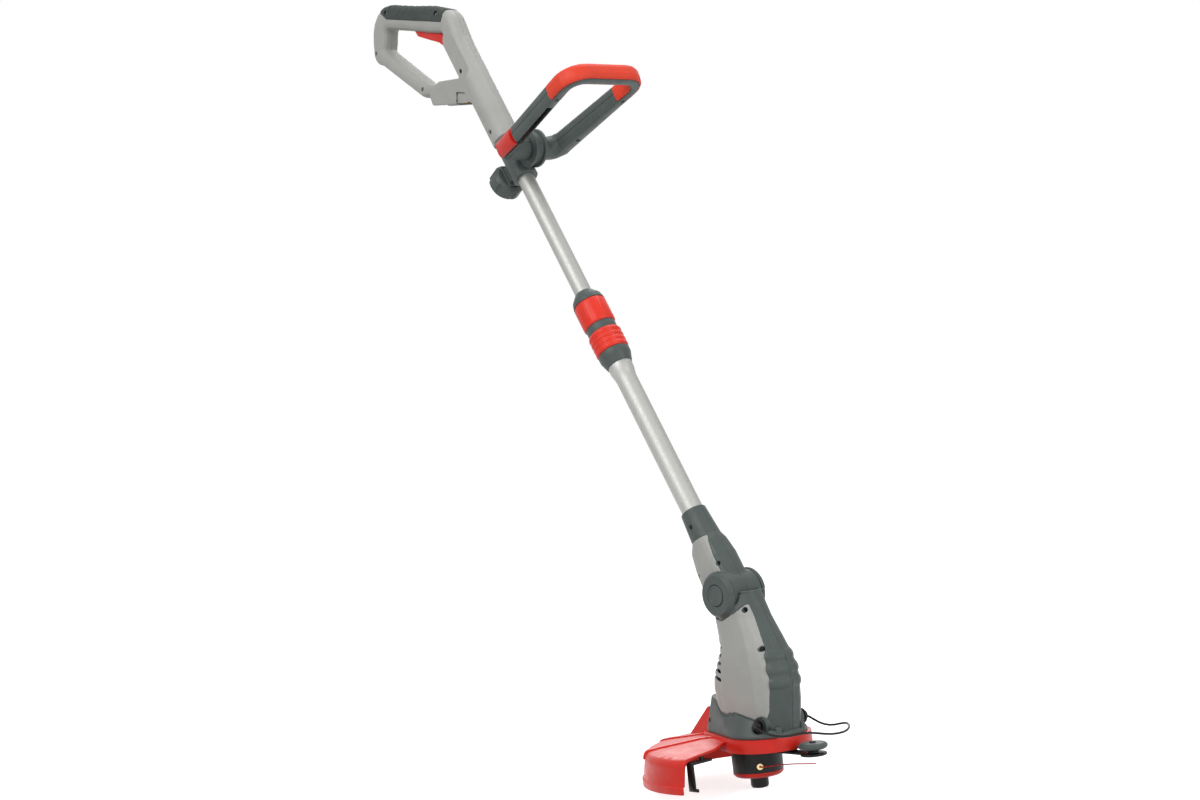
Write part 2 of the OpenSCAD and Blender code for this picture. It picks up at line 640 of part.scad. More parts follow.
// Rows of the bracket's body: height, rear, front, half width, squareness
bracket_rows = [[4, -22, 24, 23, 2.4], [14, -31, 26, 24.3, 2.8], [28, -36, 26, 24.3, 3], [50, -33, 26, 24.3, 3],
    [73, -28, 23, 22.5, 2.8], [84, -21, 20.5, 20.5, 2.2], [socket_top, -socket_r, socket_r, socket_r, 2]];
hinge_hole = 12;

module bracket_shell(side) color("dimgray") on_shaft() difference() {
    intersection() {
        union() {
            skin(level_rings(bracket_rows));
            rod_y(barrel_r, -barrel_half, barrel_half);
        }
        half_space(side);
    }
    difference() {
        skin(level_rings(bracket_rows, bracket_wall));
        // Web that holds the lead, and the wall of the barrel
        translate([-40, -40, 40]) cube([80, 80, 6]);
        rod_y(barrel_r, -barrel_half, barrel_half);
        translate([0, 0, 92]) cylinder(r = 30, h = 60);
        for (p = bracket_screw_places) translate([p.x, 0, p.y]) screw_post_y(bracket_screw_d);
    }
    rod_y(barrel_r - bracket_wall, -barrel_half + bracket_wall, barrel_half - bracket_wall);
    rod_y(hinge_hole + run, -60, 60);
    translate([0, 0, lower_start]) cylinder(r = lower_r, h = socket_top);
    cylinder(r = lead_r, h = lower_start + over);
    difference() {
        bracket_panel_zone(side);
        skin(level_rings(bracket_rows, panel_t));
    }
    bracket_screw_ways();
}

bracket_screw_d = 2.5;
// Screws of the bracket: x, z and how far the head lies from the middle
bracket_screw_places = [[18, 37, 17], [-25, 42, 17], [0, 104, lower_r + 3.2]];
// The one in the socket stops short of the tube
function bracket_screw_l(p) = p.y > lower_start ? p[2] - lower_r - gap / 2 : p[2] + 4;
module bracket_screw_ways() for (p = bracket_screw_places)
    translate([p.x, -p[2], p.y]) screw_way(bracket_screw_d, bracket_screw_l(p));
bracket_panel_path = outline([[-60, 16, 0], [0, 16, 0], [17, 24, 3], [18, 82, 4], [-8, 85, 4], [-60, 85, 0]]);
module bracket_panel_zone(side) intersection() {
    along_y(side > 0 ? 4 : -60, side > 0 ? 60 : -4) polygon(bracket_panel_path);
    difference() {
        translate([-60, -60, 0]) cube([120, 120, 120]);
        rod_y(barrel_r + 0.8, -60, 60);
    }
}
module bracket_panel(side) color("darkgray") on_shaft() difference() {
    intersection() {
        skin(level_rings(bracket_rows));
        bracket_panel_zone(side);
    }
    skin(level_rings(bracket_rows, panel_t));
    bracket_screw_ways();
}

module bracket_shell_right() bracket_shell(-1);
module bracket_shell_left() bracket_shell(1);
module bracket_panel_right() bracket_panel(-1);
module bracket_panel_left() bracket_panel(1);

module bracket_screws() color("black") on_shaft() for (p = bracket_screw_places)
    translate([p.x, -p[2], p.y]) screw(bracket_screw_d, bracket_screw_l(p));

// ---- Head --------------------------------------------------------------------

casing_top = 262;
// Rows of the motor casing: height, rear, front, half width, squareness
casing_rows = [[75, -30, 73, 33, 3], [98, -40, 77, 36.5, 3], [118, -46, 80, 37.5, 3], [137, -48, 81.5, 37.5, 3],
    [152, -46, 81.5, 37.5, 2.9], [168, -39, 78.5, 37, 2.7], [186, -32, 71, 34.5, 2.5], [204, -35, 62.5, 31, 2.4],
    [228, -40, 49, 28, 2.3], [240, -34, 43, 27, 2.3], [casing_top, 6, 33, 18, 2.6]];
casing_foot = casing_rows[0][0];

module ear_discs() at_pivot() for (s = [0, 1]) mirror([0, s, 0]) translate([0, barrel_end, 0])
    rotate([-90, 0, 0]) rotate_extrude($fn = 48) polygon([[0, 0], [barrel_r + 0.5, 0], [barrel_r + 1.5, 2],
        [barrel_r + 1.5, 3.5], [barrel_r - 3, ear_t], [0, ear_t]]);

module casing_solid(inset) swept(level_rings(casing_rows, inset));

module motor_shell(side) color("dimgray") intersection() {
    $fn = mesh_fn;
    half_space(side);
    difference() {
        union() {
            difference() {
                casing_solid(0);
                casing_cavity();
                // Room for the barrel between the ears, and for the bracket's heel behind it
                at_pivot() intersection() {
                    rod_y(swing_r, -barrel_end, barrel_end);
                    translate([-60, -60, -60]) cube([60, 120, 120]);
                }
                at_pivot() rod_y(round_clear(barrel_r + gap), -barrel_end, barrel_end);
                difference() {
                    panel_zone(side);
                    casing_solid(panel_t);
                }
            }
            ear_discs();
            // Boss of the wire guard, and the swells across the front
            translate([wire_x, 0, wire_z])
                rod_y(wire_boss_r, side > 0 ? 20 : gap - wire_ear_y, side > 0 ? wire_ear_y - gap : -20);
            for (z = swell_heights) front_swell(z);
        }
        at_pivot() rod_y(round_clear(hinge_hole), -60, 60);
        at_pivot() rod_y(round_clear(tilt_button_r + gap / 2), -60, -disc_face + tilt_seat);
        translate([wire_x, 0, wire_z]) for (s = [-1, 1])
            rod_y(round_clear(wire_d / 2 + run), s * wire_ear_y - wire_pin_l - gap, s * wire_ear_y + wire_pin_l + gap);
        vents();
        for (p = head_screw_places) translate([p.x, -p[2], p.y]) screw_way(head_screw_d, head_screw_l);
        translate([0, 0, 60]) cylinder(r = motor_shaft_r + 3, h = 60);
        guard_screw_ways();
    }
}

// Radius that the bracket's heel sweeps about the pivot
swing_r = 36;

// Row of the casing at height z, between the rows given
function casing_row(z) = let (n = len([for (r = casing_rows) if (r[0] <= z) r]), a = casing_rows[n - 1],
    b = casing_rows[n]) a + (b - a) * (z - a[0]) / (b[0] - a[0]);

swell_heights = [143, 161, 179];
swell_half = 8;
swell_rise = 2.2;
// Soft swell across the front of the casing, centred at height z
module front_swell(z) intersection() {
    difference() {
        swept([for (k = [[-1, -0.3], [-0.55, 0.7], [-0.1, 1], [0.5, 0.7], [1, -0.3]])
            level_rings([casing_row(z + k[0] * swell_half)], -swell_rise * k[1])[0]]);
        casing_solid(head_wall / 2);
    }
    translate([44, -60, 0]) cube([80, 120, 300]);
    difference() {
        translate([0, -60, 0]) cube([120, 120, 300]);
        panel_zone(1);
        panel_zone(-1);
    }
}

module casing_cavity() difference() {
    casing_solid(head_wall);
    translate([-80, -60, 0]) cube([200, 120, casing_foot + head_wall]);
    // Seats that hold the motor can
    difference() {
        for (z = [motor_z + 4, motor_z + motor_h - 12]) translate([-60, -60, z]) cube([160, 120, 6]);
        cylinder(r = round_clear(motor_r), h = 400);
    }
    for (p = head_screw_places) translate([p.x, 0, p.y]) screw_post_y(head_screw_d);
}

panel_path = outline([[-80, 80, 0], [52, 80, 3], [64, 108, 8], [69, 146, 16], [60, 190, 20], [33, 247, 3],
    [18, 236, 10], [-10, 224, 10], [-80, 236, 0]]);
module panel_zone(side) difference() {
    along_y(side > 0 ? 8 : -60, side > 0 ? 60 : -8) polygon(panel_path);
    at_pivot() rod_y(barrel_r + 2.4, -80, 80);
    base_hull(0.3);
}

module side_panel(side) color("darkgray") difference() {
    $fn = mesh_fn;
    intersection() {
        casing_solid(0);
        panel_zone(side);
    }
    casing_solid(panel_t);
    translate([wire_x, 0, wire_z]) rod_y(wire_boss_r + gap / 2, -80, 80);
    vents();
    for (p = head_screw_places) translate([p.x, -p[2], p.y]) screw_way(head_screw_d, head_screw_l);
}

// Cooling slots through the rear of the panels
vent_count = 5;
vent_pitch = 10.5;
module vents() for (i = [0 : vent_count - 1], s = [-1, 1]) translate([-31, s * 28, 193 - i * vent_pitch])
    rotate([0, 14, 0]) cube([34, 18, 4], center = true);

module motor_shell_right() motor_shell(-1);
module motor_shell_left() motor_shell(1);
module side_panel_right() side_panel(-1);
module side_panel_left() side_panel(1);

motor_z = 96;
module motor() color("silver") translate([0, 0, motor_z]) difference() {
    cylinder(r = motor_r, h = motor_h);
    translate([0, 0, -over]) cylinder(r = motor_shaft_r + run, h = motor_h + 2 * over);
}

// Egg-shaped foot of the base collar: front centre and radius, rear centre and radius
base_egg = [25, 53, -58, 23];
module egg_slab(e, grow, h) linear_extrude(h) hull() {
    translate([e[0], 0]) circle(e[1] + grow);
    translate([e[2], 0]) circle(e[3] + grow);
}
module base_hull(grow) hull() {
    translate([0, 0, guard_top]) egg_slab(base_egg, grow, 4);
    translate([0, 0, 106 + grow]) rotate([0, 13, 0]) egg_slab([26, 40, -52, 18], grow, 1);
}
module base_collar() color("dimgray") difference() {
    $fn = 48;
    union() {
        base_hull(0);
        // Screw posts at the front
        for (s = [-1, 1]) translate([68, s * 20, guard_top]) cylinder(r = 4.5, h = 10);
    }
    difference() {
        translate([0, 0, -over]) base_hull(-bracket_wall);
        // Posts of the screws at the rear
        translate([guard_screw_places[0].x, 0, guard_top]) cylinder(r = 5, h = 60, $fn = 12);
        translate([collar_screw.x, 0, collar_screw.y]) rod_y(head_screw_d + 2, -60, -4, $fn = 8);
    }
    guard_screw_ways();
    casing_solid(-0.01);
    translate([0, 0, guard_top - over]) linear_extrude(casing_foot - guard_top + 2 * over)
        polygon([for (p = level_rings([casing_rows[0]])[0]) [p.x, p.y]]);
    cylinder(r = 20, h = 200);
    translate([wire_x, 0, wire_z]) rod_y(wire_boss_r + gap / 2, -80, 80);
    translate([collar_screw.x, -collar_screw[2], collar_screw.y]) screw_way(head_screw_d, head_screw_l);
}
// Screw low on the right of the collar: x, z and how far the head lies from the middle
collar_screw = [-64, 89.5, 18.5];
head_screw_d = 3;
head_screw_l = 12;
guard_screw_d = 3.5;
guard_screw_l = 11;
guard_screw_places = [[-62, 0], [58, 24], [58, -24]];
module guard_screw_ways() for (p = guard_screw_places)
    translate([p.x, p.y, guard_top - guard_wall]) rotate([90, 0, 0]) screw_way(guard_screw_d, guard_screw_l);

module motor_shaft() color("silver") translate([0, 0, cover_top + spool_h - 4])
    cylinder(r = motor_shaft_r, h = motor_z + motor_h + 4 - (cover_top + spool_h - 4));

// Depth of the button's seat in the ear disc, and the button's travel into it
tilt_seat = 5;
tilt_travel = 3;
tilt_spring_r = 8;
module tilt_pin() color("silver") at_pivot() difference() {
    rod_y(hinge_hole, -disc_face + tilt_seat + gap / 4, disc_face - 2);
    // Recess of the spring
    rod_y(tilt_spring_r + gap, -disc_face, -disc_face + tilt_seat + spring_h);
}

module tilt_button() color("dimgray") at_pivot() translate([0, -disc_face - 0.6, 0]) rotate([-90, 0, 0])
    rotate_extrude() polygon([[0, 0.8], [tilt_button_r - 4, 0.8], [tilt_button_r - 3, 0], [tilt_button_r - 1, 0],
        [tilt_button_r, 1], [tilt_button_r, tilt_seat - tilt_travel + gap], [0, tilt_seat - tilt_travel + gap]]);
module tilt_spring() color("silver") at_pivot() translate([0, -disc_face + tilt_seat + gap, 0]) rotate([-90, 0, 0])
    spring(tilt_spring_r, spring_h - gap, 1);

// Screws of the casing: x, z and the depth of the head from the middle
head_screw_places = [[30, 238, 17.5], [57.5, 188.4, 24]];
module head_screws() color("black") {
    for (p = concat(head_screw_places, [collar_screw])) translate([p.x, -p[2], p.y])
        screw(head_screw_d, head_screw_l);
    for (p = guard_screw_places) translate([p.x, p.y, guard_top - guard_wall]) rotate([90, 0, 0])
        screw(guard_screw_d, guard_screw_l);
}

// ---- Guard and what it carries ---------------------------------------------------

band_z0 = 57;
band_grow = 5;
skirt_start = 120;
skirt_end = 290;
lip_h = 9;
lip_t = 2;
// Profile of the skirt and the top, outer face first: radius and height
function skirt_profile(inset) = concat([[guard_r - inset, guard_foot - (inset > 0 ? over : 0)],
    [guard_r - inset, guard_foot + lip_h], [guard_r - lip_t - inset, guard_foot + lip_h + 1],
    [guard_r - 5.5 - inset, 50 - inset / 2]],
    [for (a = [15 : 15 : 75]) [guard_r - 15.5 - inset + 10 * cos(a), 50 + 12 * sin(a) - inset]],
    [[guard_r - 24, 63.5 - inset], [60, guard_top - 4 - inset], [40, guard_top - 4 - inset],
    [40, guard_foot - (inset > 0 ? over : 0)]]);

module skirt_solid(inset) {
    extra = inset > 0 ? 3 : 0;
    translate([guard_x, 0, 0]) rotate([0, 0, skirt_start - extra])
        rotate_extrude(angle = skirt_end - skirt_start + 2 * extra, $fn = 96) polygon(skirt_profile(inset));
}

// Plan in which the skirt is kept: it is cut straight from the hub to its near corner
module skirt_plan() translate([0, 0, -over]) linear_extrude(200)
    polygon([[12, -40], [1, -200], [-300, -200], [-300, 300], [-96, 300], [-50, 40]]);

module guard() color("red") difference() {
    union() {
        intersection() {
            skirt_solid(0);
            skirt_plan();
        }
        translate([0, 0, band_z0]) egg_slab(base_egg, band_grow, guard_top - band_z0);
        // Radial ridges and the gusset behind the motor
        intersection() {
            skirt_solid(-1.8);
            skirt_plan();
            translate([guard_x, 0, guard_foot + 34]) for (a = [196, 232]) rotate([0, 0, a])
                translate([30, -5, 0]) cube([guard_r, 10, 60]);
        }
        along_y(-2.2, 2.2) polygon([[base_egg[2] - base_egg[3] - 1, guard_top - 6], [-131, 62],
            [base_egg[2] - base_egg[3] - 5, 104], [base_egg[2] - base_egg[3] - 1, 104]]);
    }
    // Inside of the skirt and of the band
    difference() {
        skirt_solid(guard_wall);
        translate([0, 0, band_z0]) egg_slab(base_egg, band_grow, guard_top);
    }
    translate([0, 0, band_z0 - over]) egg_slab(base_egg, band_grow - guard_wall,
        guard_top - band_z0 - guard_wall + over);
    translate([guard_x, 0, 0]) linear_extrude(band_z0) circle(48);
    cylinder(r = 14, h = 200);
    guard_screw_ways();
}

cutter_x = 8;
cutter_y = 17 - guard_r; // Just inside the skirt
cutter_z = 54;
cutter_plate = 3;
module line_cutter() color("black") {
    translate([cutter_x - 6, cutter_y, guard_foot + 2])
        cube([12, 2.4, cutter_z + cutter_plate - guard_foot - 2]);
    translate([cutter_x + 5, cutter_y, guard_foot + 2]) cube([6, 2.4, 4]);
    translate([cutter_x - 6, cutter_y, cutter_z]) cube([12, 34, cutter_plate]);
    // Stud up to the underside of the guard
    translate([cutter_x - 3, cutter_y + 24, cutter_z])
        cylinder(r = 3, h = guard_top - guard_wall - cutter_z - 9.6);
}

wheel_x = 108;
wheel_z = 58;
wheel_h = 8;
axle_r = 4;
module wheel_bracket() color("black") {
    translate([40, -8, 50]) cube([wheel_x - 40, 16, 3]);
    translate([wheel_x, 0, 50]) cylinder(r = 17, h = 3);
    translate([wheel_x, 0, 50]) cylinder(r = axle_r, h = wheel_z + wheel_h + 2 - 50);
    translate([wheel_x, 0, 50]) cylinder(r = axle_r + 3, h = wheel_z - gap - 50);
    translate([46, -8, 50]) cube([24, 16, guard_top - guard_wall - 50]);
}

module guide_wheel() color("dimgray") translate([wheel_x, 0, wheel_z]) rotate_extrude() polygon([
    [axle_r + run, 0], [wheel_r - 3, 0], [wheel_r, 2.5], [wheel_r, wheel_h - 2.5], [wheel_r - 3, wheel_h],
    [axle_r + run, wheel_h]]);

wire_x = 53;
wire_y = 41;
wire_z = 91;
wire_boss_r = 10;
// Ears of the wire turn on pins outside the casing's bosses
wire_ear_r = 6.5;
wire_ear_y = 39.4;
wire_pin_l = 7;

// Route of the wire guard's right half, from its ear to the middle of its front
wire_right = [[53, 41, 91], [54, 44, 90.6], [60, 45.5, 88.6], [68, 45.5, 85.4], [78, 44.5, 82.4], [89, 43, 80.8],
    [100, 41.5, 80.6], [111, 40, 81.8], [121, 38.5, 83.8], [131, 36.5, 85.6], [140, 33.5, 86.4], [148, 28.5, 85.4],
    [154.5, 21.5, 83.6], [159, 13, 82.2], [161, 4.5, 81.6]];
wire_route = concat([for (p = wire_right) [p.x, -p.y, p.z]],
    [for (i = [len(wire_right) - 1 : -1 : 0]) wire_right[i]]);

// Rings of a round wire along a route of points
function wire_rings(path, r, n = 10) = let (k = len(path)) [for (i = [0 : k - 1])
    let (t = unit(path[min(i + 1, k - 1)] - path[max(i - 1, 0)]), s = unit(cross([0, 0.02, 1], t)), u = cross(t, s))
    [for (j = [0 : n - 1]) path[i] + r * (cos(360 * j / n) * s + sin(360 * j / n) * u)]];

module wire_guard() color("black") {
    skin(wire_rings(wire_route, wire_d / 2));
    for (s = [0, 1]) mirror([0, s, 0]) translate([wire_x, wire_ear_y, wire_z]) {
        rod_y(wire_ear_r, 0, wire_y + 2.4 - wire_ear_y);
        rod_y(wire_d / 2, -wire_pin_l, over);
    }
}

// ---- Spool --------------------------------------------------------------------

cover_top = knob_h + cover_h;
reel_hub = 14;
reel_r = 28.5;
bump_travel = 5;
spool_wall = 2.6;
reel_z = cover_top + 2;
reel_h = 25;
eyelet_z = cover_top + 9;
eyelet_turn = -38;
spool_top = cover_top + spool_h;

module spool_housing() color("black") difference() {
    rotate_extrude() polygon([[0, spool_top], [spool_r - 3, spool_top], [spool_r, spool_top - 4],
        [spool_r - 0.6, cover_top], [spool_r - spool_wall - 0.6, cover_top],
        [spool_r - spool_wall, spool_top - 4], [0, spool_top - 4]]);
    cylinder(r = motor_shaft_r, h = 300);
    eyelet_bores();
}
module eyelet_bores() for (a = [0, 180]) rotate([0, 0, eyelet_turn + a]) translate([0, 0, eyelet_z])
    rotate([0, 90, 0]) cylinder(r = 3, h = 60);

module spool_cover() color("red") difference() {
    translate([0, 0, knob_h]) rotate_extrude() polygon([[0, 0], [spool_r - 3.5, 0], [spool_r - 0.6, 3],
        [spool_r - 0.6, cover_h], [spool_r - spool_wall - 0.6, cover_h], [spool_r - spool_wall - 0.6, 3], [0, 3]]);
    cylinder(r = knob_r + gap, h = 60);
}

module eyelets() color("gold") for (a = [0, 180]) rotate([0, 0, eyelet_turn + a])
    translate([spool_r - spool_wall - 1, 0, eyelet_z]) rotate([0, 90, 0]) difference() {
        union() {
            cylinder(r = 3, h = spool_wall + 1.6);
            translate([0, 0, spool_wall + 0.9]) cylinder(r = 4.2, h = 1.4);
        }
        translate([0, 0, -over]) cylinder(r = line_d / 2 + 0.3, h = 10);
    }

module reel() color("dimgray") difference() {
    translate([0, 0, reel_z]) {
        for (z = [0, reel_h - 2]) translate([0, 0, z]) cylinder(r = reel_r, h = 2);
        cylinder(r = reel_hub, h = reel_h);
        // Wound line
        translate([0, 0, 2]) cylinder(r = reel_r - 4, h = reel_h - 4);
    }
    cylinder(r = 6, h = 200);
    translate([0, 0, reel_z + 6]) cylinder(r = reel_hub - 2, h = reel_h);
}

module bump_knob() color("black") difference() {
    union() {
        translate([0, 0, 1.5]) cylinder(r1 = knob_r - 1.5, r2 = knob_r, h = 3);
        translate([0, 0, 4.5]) cylinder(r = knob_r, h = reel_z - 4.5);
        cylinder(r = 6, h = reel_z + 6);
    }
    translate([0, 0, -over]) cylinder(r = 7.5, h = over + 2);
}
module bump_tip() color("silver") rotate_extrude() polygon([[0, 0], [5.5, 0], [7.5, 1], [7.5, 2], [0, 2]]);

module bump_spring() color("silver") translate([0, 0, reel_z + 6]) tube(11, 9.5, spool_top - 4 - reel_z - 6);

line_height = eyelet_z;
line_points = [[23.4, -18.3, line_height], [27.5, -21.5, line_height], [32, -23.5, line_height - 0.3], [42, -12, line_height + 0.4],
    [52, -2, line_height + 0.8], [62, 7, line_height + 0.6], [74, 17, line_height - 0.4], [84, 25, line_height - 1]];
module cutting_line() color("red") skin(wire_rings(line_points, line_d / 2, 8));

rear_shell_right();
rear_shell_left();
soft_grip();
casing_screws();
battery_contacts();
trigger_switch();
trigger();
trigger_pin();
trigger_spring();
upper_tube();
tube_bush();
lead_coil();
handle_clamp();
clamp_shoe();
clamp_bolt();
clamp_knob();
loop_shell_upper();
loop_shell_lower();
grip_cover();
loop_screws();
hinge_bolt();
hinge_button();
hinge_spring();
collar_body();
collar_base();
clamp_collet();
lock_ring();
release_sleeve();
sleeve_spring();
lower_tube();
bracket_shell_right();
bracket_shell_left();
bracket_panel_right();
bracket_panel_left();
bracket_screws();
lead_lower();
motor_shell_right();
motor_shell_left();
side_panel_right();
side_panel_left();
base_collar();
motor();
motor_shaft();
tilt_pin();
tilt_button();
tilt_spring();
head_screws();
guard();
line_cutter();
wheel_bracket();
guide_wheel();
wire_guard();
spool_housing();
spool_cover();
eyelets();
cutting_line();
reel();
bump_knob();
bump_tip();
bump_spring();
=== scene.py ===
import json
import math

import bmesh
import bpy
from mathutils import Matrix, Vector


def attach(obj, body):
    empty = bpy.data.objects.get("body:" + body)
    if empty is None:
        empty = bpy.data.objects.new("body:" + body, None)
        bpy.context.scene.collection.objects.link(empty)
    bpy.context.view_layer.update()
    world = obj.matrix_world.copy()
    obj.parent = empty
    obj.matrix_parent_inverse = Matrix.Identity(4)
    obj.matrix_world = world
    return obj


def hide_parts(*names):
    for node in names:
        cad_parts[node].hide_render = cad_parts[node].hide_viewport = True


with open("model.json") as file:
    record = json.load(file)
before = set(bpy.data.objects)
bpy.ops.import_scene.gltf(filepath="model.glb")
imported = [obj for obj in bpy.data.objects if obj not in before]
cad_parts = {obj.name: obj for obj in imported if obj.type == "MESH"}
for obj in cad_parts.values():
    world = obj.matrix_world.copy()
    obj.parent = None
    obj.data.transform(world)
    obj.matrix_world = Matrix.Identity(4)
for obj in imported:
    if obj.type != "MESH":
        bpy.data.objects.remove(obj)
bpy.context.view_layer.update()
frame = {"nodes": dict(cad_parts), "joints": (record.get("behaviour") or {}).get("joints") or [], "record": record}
print("frame loaded")

mm = 0.001
record = frame["record"]
joints = {joint["name"]: joint for joint in frame["joints"]}
bodyOf = {node: body for body, nodes in record["behaviour"]["bodies"].items() for node in nodes}
slotOf = {part["node"]: part["material_slot"] for part in record["subparts"]}

# Where things are
pivot = Vector(joints["head_tilt"]["pos_m"])
shaftUp = -Vector(joints["telescope"]["axis"])
shaftFront = Vector((shaftUp.z, 0, -shaftUp.x))
hinge = Vector(joints["handle_tilt"]["pos_m"])
armDrop = math.radians(10)
armOut = shaftFront * math.cos(armDrop) - shaftUp * math.sin(armDrop)
armUp = shaftUp * math.cos(armDrop) + shaftFront * math.sin(armDrop)


# Places in millimetres: on the leaning shaft, on the front handle, and upright on the head
def onShaft(x, y, z):
    return pivot + shaftFront * x * mm + Vector((0, y * mm, 0)) + shaftUp * z * mm


def onArm(x, y, z):
    return hinge + armOut * x * mm + Vector((0, y * mm, 0)) + armUp * z * mm


def onHead(x, y, z):
    return Vector((x, y, z)) * mm


# Points round a circle about the origin
def circle(radius, count):
    angles = [2 * math.pi * i / count for i in range(count)]
    return [(radius * math.cos(a), radius * math.sin(a)) for a in angles]


# Selects one object and makes it the active one
def choose(piece):
    bpy.ops.object.select_all(action="DESELECT")
    piece.select_set(True)
    bpy.context.view_layer.objects.active = piece


def applyModifiers(piece):
    choose(piece)
    for modifier in list(piece.modifiers):
        bpy.ops.object.modifier_apply(modifier=modifier.name)


# Moves the selected points of the piece in edit mode onto a ring of places. The first ring's points
# are matched by their angle, and a later ring's by which point of the ring before is nearest
def placeRing(piece, before, ring):
    mesh = bmesh.from_edit_mesh(piece.data)
    chosen = [v for v in mesh.verts if v.select]
    if before is None:
        chosen.sort(key=lambda v: math.atan2(v.co.y, v.co.x) % (2 * math.pi))
        pairs = zip(chosen, ring)
    else:
        pairs = []
        for v in chosen:
            nearest = min(range(len(before)), key=lambda i: (before[i] - v.co).length_squared)
            pairs.append((v, ring[nearest]))
    for v, place in pairs:
        v.co = place
    bmesh.update_edit_mesh(piece.data)


# Solid made by extruding a circle from ring to ring, each a list of places in metres
def ringSolid(name, rings):
    bpy.ops.object.select_all(action="DESELECT")
    bpy.ops.mesh.primitive_circle_add(vertices=len(rings[0]), radius=1, fill_type="NGON")
    piece = bpy.context.object
    piece.name = piece.data.name = name
    bpy.ops.object.mode_set(mode="EDIT")
    bpy.ops.mesh.select_mode(type="VERT")
    placeRing(piece, None, rings[0])
    for before, ring in zip(rings, rings[1:]):
        bpy.ops.mesh.extrude_region_move()
        placeRing(piece, before, ring)
    bpy.ops.mesh.select_all(action="SELECT")
    bpy.ops.mesh.normals_make_consistent(inside=False)
    bpy.ops.object.mode_set(mode="OBJECT")
    return piece


# Outline of (x, z) pushed from y0 to y1
def prism(name, outline, y0, y1, place):
    return ringSolid(name, [[place(x, y, z) for x, z in outline] for y in (y0, y1)])


# Turned solid from start along a direction, with (distance, radius) in millimetres for each ring
def turned(name, start, axis, profile, count):
    axis = axis.normalized()
    side = axis.orthogonal().normalized()
    other = axis.cross(side)
    rings = []
    for distance, radius in profile:
        centre = start + axis * distance * mm
        rings.append([centre + (side * x + other * y) * mm for x, y in circle(radius, count)])
    return ringSolid(name, rings)


def rod(name, start, end, radius, count):
    length = (end - start).length / mm
    return turned(name, start, end - start, [(0, radius), (length, radius)], count)


# Cuts the tool out of the piece, or adds it, and uses the tool up
def carve(piece, tool, how="DIFFERENCE"):
    cut = piece.modifiers.new("cut", "BOOLEAN")
    cut.operation, cut.object, cut.solver = how, tool, "MANIFOLD"
    applyModifiers(piece)
    bpy.data.objects.remove(tool)


# Copy of a CAD node with its loose triangles joined up, ready to be worked on
def fromNode(node, name):
    piece = frame["nodes"][node].copy()
    piece.data = piece.data.copy()
    piece.name = piece.data.name = name
    bpy.context.collection.objects.link(piece)
    piece.parent = None
    choose(piece)
    bpy.ops.object.mode_set(mode="EDIT")
    bpy.ops.mesh.select_all(action="SELECT")
    bpy.ops.mesh.remove_doubles(threshold=2e-6)
    bpy.ops.mesh.dissolve_limited(angle_limit=math.radians(0.5))
    bpy.ops.object.mode_set(mode="OBJECT")
    return piece


# Shades a piece smooth, apart from the edges that turn by more than the angle
def shadeSmooth(piece, angle):
    choose(piece)
    bpy.ops.object.shade_smooth_by_angle(angle=math.radians(angle))


# Hard piece with its sharp edges rounded
def roundEdges(piece, width, angle=35, segments=2):
    edge = piece.modifiers.new("edge", "BEVEL")
    edge.width, edge.segments, edge.limit_method = width * mm, segments, "ANGLE"
    edge.angle_limit, edge.use_clamp_overlap = math.radians(angle), True
    applyModifiers(piece)
    shadeSmooth(piece, angle)
    return piece


# Gives a piece an even mesh whose edges come out round, as from a mould
def mould(piece, voxel, smoothing):
    skin = piece.modifiers.new("skin", "REMESH")
    skin.mode, skin.voxel_size = "VOXEL", voxel * mm
    soft = piece.modifiers.new("soft", "SMOOTH")
    soft.factor, soft.iterations = 0.5, smoothing
    applyModifiers(piece)
    for face in piece.data.polygons:
        face.use_smooth = True


# Moves each point of a piece by what shape gives for its place, both in millimetres
def reshape(piece, shape):
    choose(piece)
    bpy.ops.object.mode_set(mode="EDIT")
    mesh = bmesh.from_edit_mesh(piece.data)
    for v in mesh.verts:
        v.co += shape(v.co / mm) * mm
    bmesh.update_edit_mesh(piece.data)
    bpy.ops.object.mode_set(mode="OBJECT")


dressed = {}  # CAD nodes and the pieces that stand for them
extras = {}  # pieces that stand for no CAD node, and their slots


def dress(piece, node):
    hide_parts(node)
    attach(piece, bodyOf[node])
    dressed[node] = piece


def addExtra(piece, body, slotName):
    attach(piece, body)
    extras[piece] = slotName


# Dresses a node in a moulded skin: its solid with parts added and cut away, its edges and facets rounded off
def skinOf(node, name, settings, cuts=(), fills=(), shape=None):
    piece = fromNode(node, name)
    for fill in fills:
        carve(piece, fill, "UNION")
    for cut in cuts:
        carve(piece, cut)
    mould(piece, settings["voxel"], settings["smoothing"])
    if shape:
        reshape(piece, shape)
    dress(piece, node)


outside = 60  # further from the middle than any part of a casing
mouthSides = 32


# Wide mouth over each screw of a list (x, z, depth), on the right side
def screwMouths(places, place, radius):
    return [rod("mouth", place(x, -outside, z), place(x, -depth, z), radius, mouthSides)
            for x, z, depth in places]


